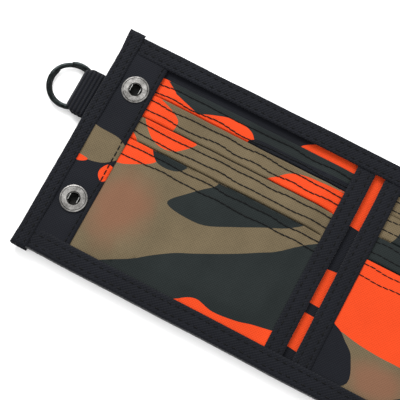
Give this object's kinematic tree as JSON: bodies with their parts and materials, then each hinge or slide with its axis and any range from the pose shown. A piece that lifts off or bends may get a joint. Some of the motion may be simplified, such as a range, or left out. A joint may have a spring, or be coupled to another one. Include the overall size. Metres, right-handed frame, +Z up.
{
  "type": "trifold wallet",
  "caption": "Fabric trifold wallet lying open: bound panels with staggered card pockets, a snap strip, a coin pocket with a flap and a split key ring on a webbing loop.",
  "frame": {"origin": "middle of the open wallet's footprint, key ring included, on the surface that it lies on", "axes": "+X along the open wallet away from the key ring, +Y towards the mouth of the bill compartment, +Z up out of the card pockets"},
  "size_m": [0.374, 0.1006, 0.0099],
  "materials": {
    "camo_fabric": "woven nylon printed in orange, khaki, dark green and navy shapes, soft sheen",
    "lining_fabric": "plain woven nylon",
    "binding_tape": "black herringbone tape, matt",
    "webbing": "ribbed black grosgrain",
    "stiffener": "dense felt board",
    "snap_metal": "worn antique nickel",
    "ring_metal": "polished black nickel"
  },
  "bodies": {
    "middle_panel": {"left_fold_bottom_tape": "binding_tape", "left_fold_lining": "lining_fabric", "left_fold_shell": "camo_fabric", "left_fold_shell_top_tape": "binding_tape", "left_fold_top_tape": "binding_tape", "middle_bottom_tape": "binding_tape", "middle_card_tier_1": "camo_fabric", "middle_card_tier_2": "camo_fabric", "middle_card_tier_3": "camo_fabric", "middle_card_tier_4": "camo_fabric", "middle_left_pocket_tape": "binding_tape", "middle_lining": "lining_fabric", "middle_pocket_back": "camo_fabric", "middle_right_pocket_tape": "binding_tape", "middle_shell": "camo_fabric", "middle_shell_top_tape": "binding_tape", "middle_top_tape": "binding_tape", "right_fold_bottom_tape": "binding_tape", "right_fold_lining": "lining_fabric", "right_fold_shell": "camo_fabric", "right_fold_shell_top_tape": "binding_tape", "right_fold_top_tape": "binding_tape"},
    "left_panel": {"key_loop": "webbing", "left_bottom_tape": "binding_tape", "left_card_tier_1": "camo_fabric", "left_card_tier_2": "camo_fabric", "left_card_tier_3": "camo_fabric", "left_card_tier_4": "camo_fabric", "left_edge_tape": "binding_tape", "left_lining": "lining_fabric", "left_pocket_back": "camo_fabric", "left_pocket_tape": "binding_tape", "left_shell": "camo_fabric", "left_shell_top_tape": "binding_tape", "left_top_tape": "binding_tape", "snap_caps": "snap_metal", "snap_sockets": "snap_metal", "snap_springs": "snap_metal", "snap_stiffener": "stiffener", "snap_strip": "camo_fabric"},
    "right_panel": {"coin_flap_root": "camo_fabric", "coin_pocket_back": "camo_fabric", "coin_pocket_front": "camo_fabric", "coin_pocket_gusset": "lining_fabric", "coin_snap_stud": "snap_metal", "right_bottom_tape": "binding_tape", "right_edge_tape": "binding_tape", "right_lining": "lining_fabric", "right_pocket_tape": "binding_tape", "right_shell": "camo_fabric", "right_shell_top_tape": "binding_tape", "right_top_tape": "binding_tape", "snap_stud_washers": "snap_metal", "snap_studs": "snap_metal"},
    "coin_flap_body": {"coin_flap": "camo_fabric", "coin_snap_cap": "snap_metal", "coin_snap_socket": "snap_metal"},
    "key_ring_body": {"key_ring": "ring_metal"}
  },
  "joints": [
    {"name": "left_fold", "type": "hinge", "parent": "middle_panel", "child": "left_panel", "pos_m": [-0.04772, 0, 0.0103], "axis": [0, 1, 0], "range_deg": [0, 179.9], "deforming": ["left_fold_bottom_tape", "left_fold_lining", "left_fold_shell", "left_fold_shell_top_tape", "left_fold_top_tape"]},
    {"name": "right_fold", "type": "hinge", "parent": "middle_panel", "child": "right_panel", "pos_m": [0.07278, 0, 0.0077], "axis": [0, -1, 0], "range_deg": [0, 179.9], "deforming": ["right_fold_bottom_tape", "right_fold_lining", "right_fold_shell", "right_fold_shell_top_tape", "right_fold_top_tape"]},
    {"name": "coin_flap_hinge", "type": "hinge", "parent": "right_panel", "child": "coin_flap_body", "pos_m": [0.13303, 0.03305, 0.0087], "axis": [-1, 0, 0], "range_deg": [0, 179.9]},
    {"name": "key_ring_swing", "type": "hinge", "parent": "left_panel", "child": "key_ring_body", "pos_m": [-0.17663, 0.0185, 0.00175], "axis": [0, 1, 0], "range_deg": [-20, 20], "deforming": ["key_loop"]}
  ]
}
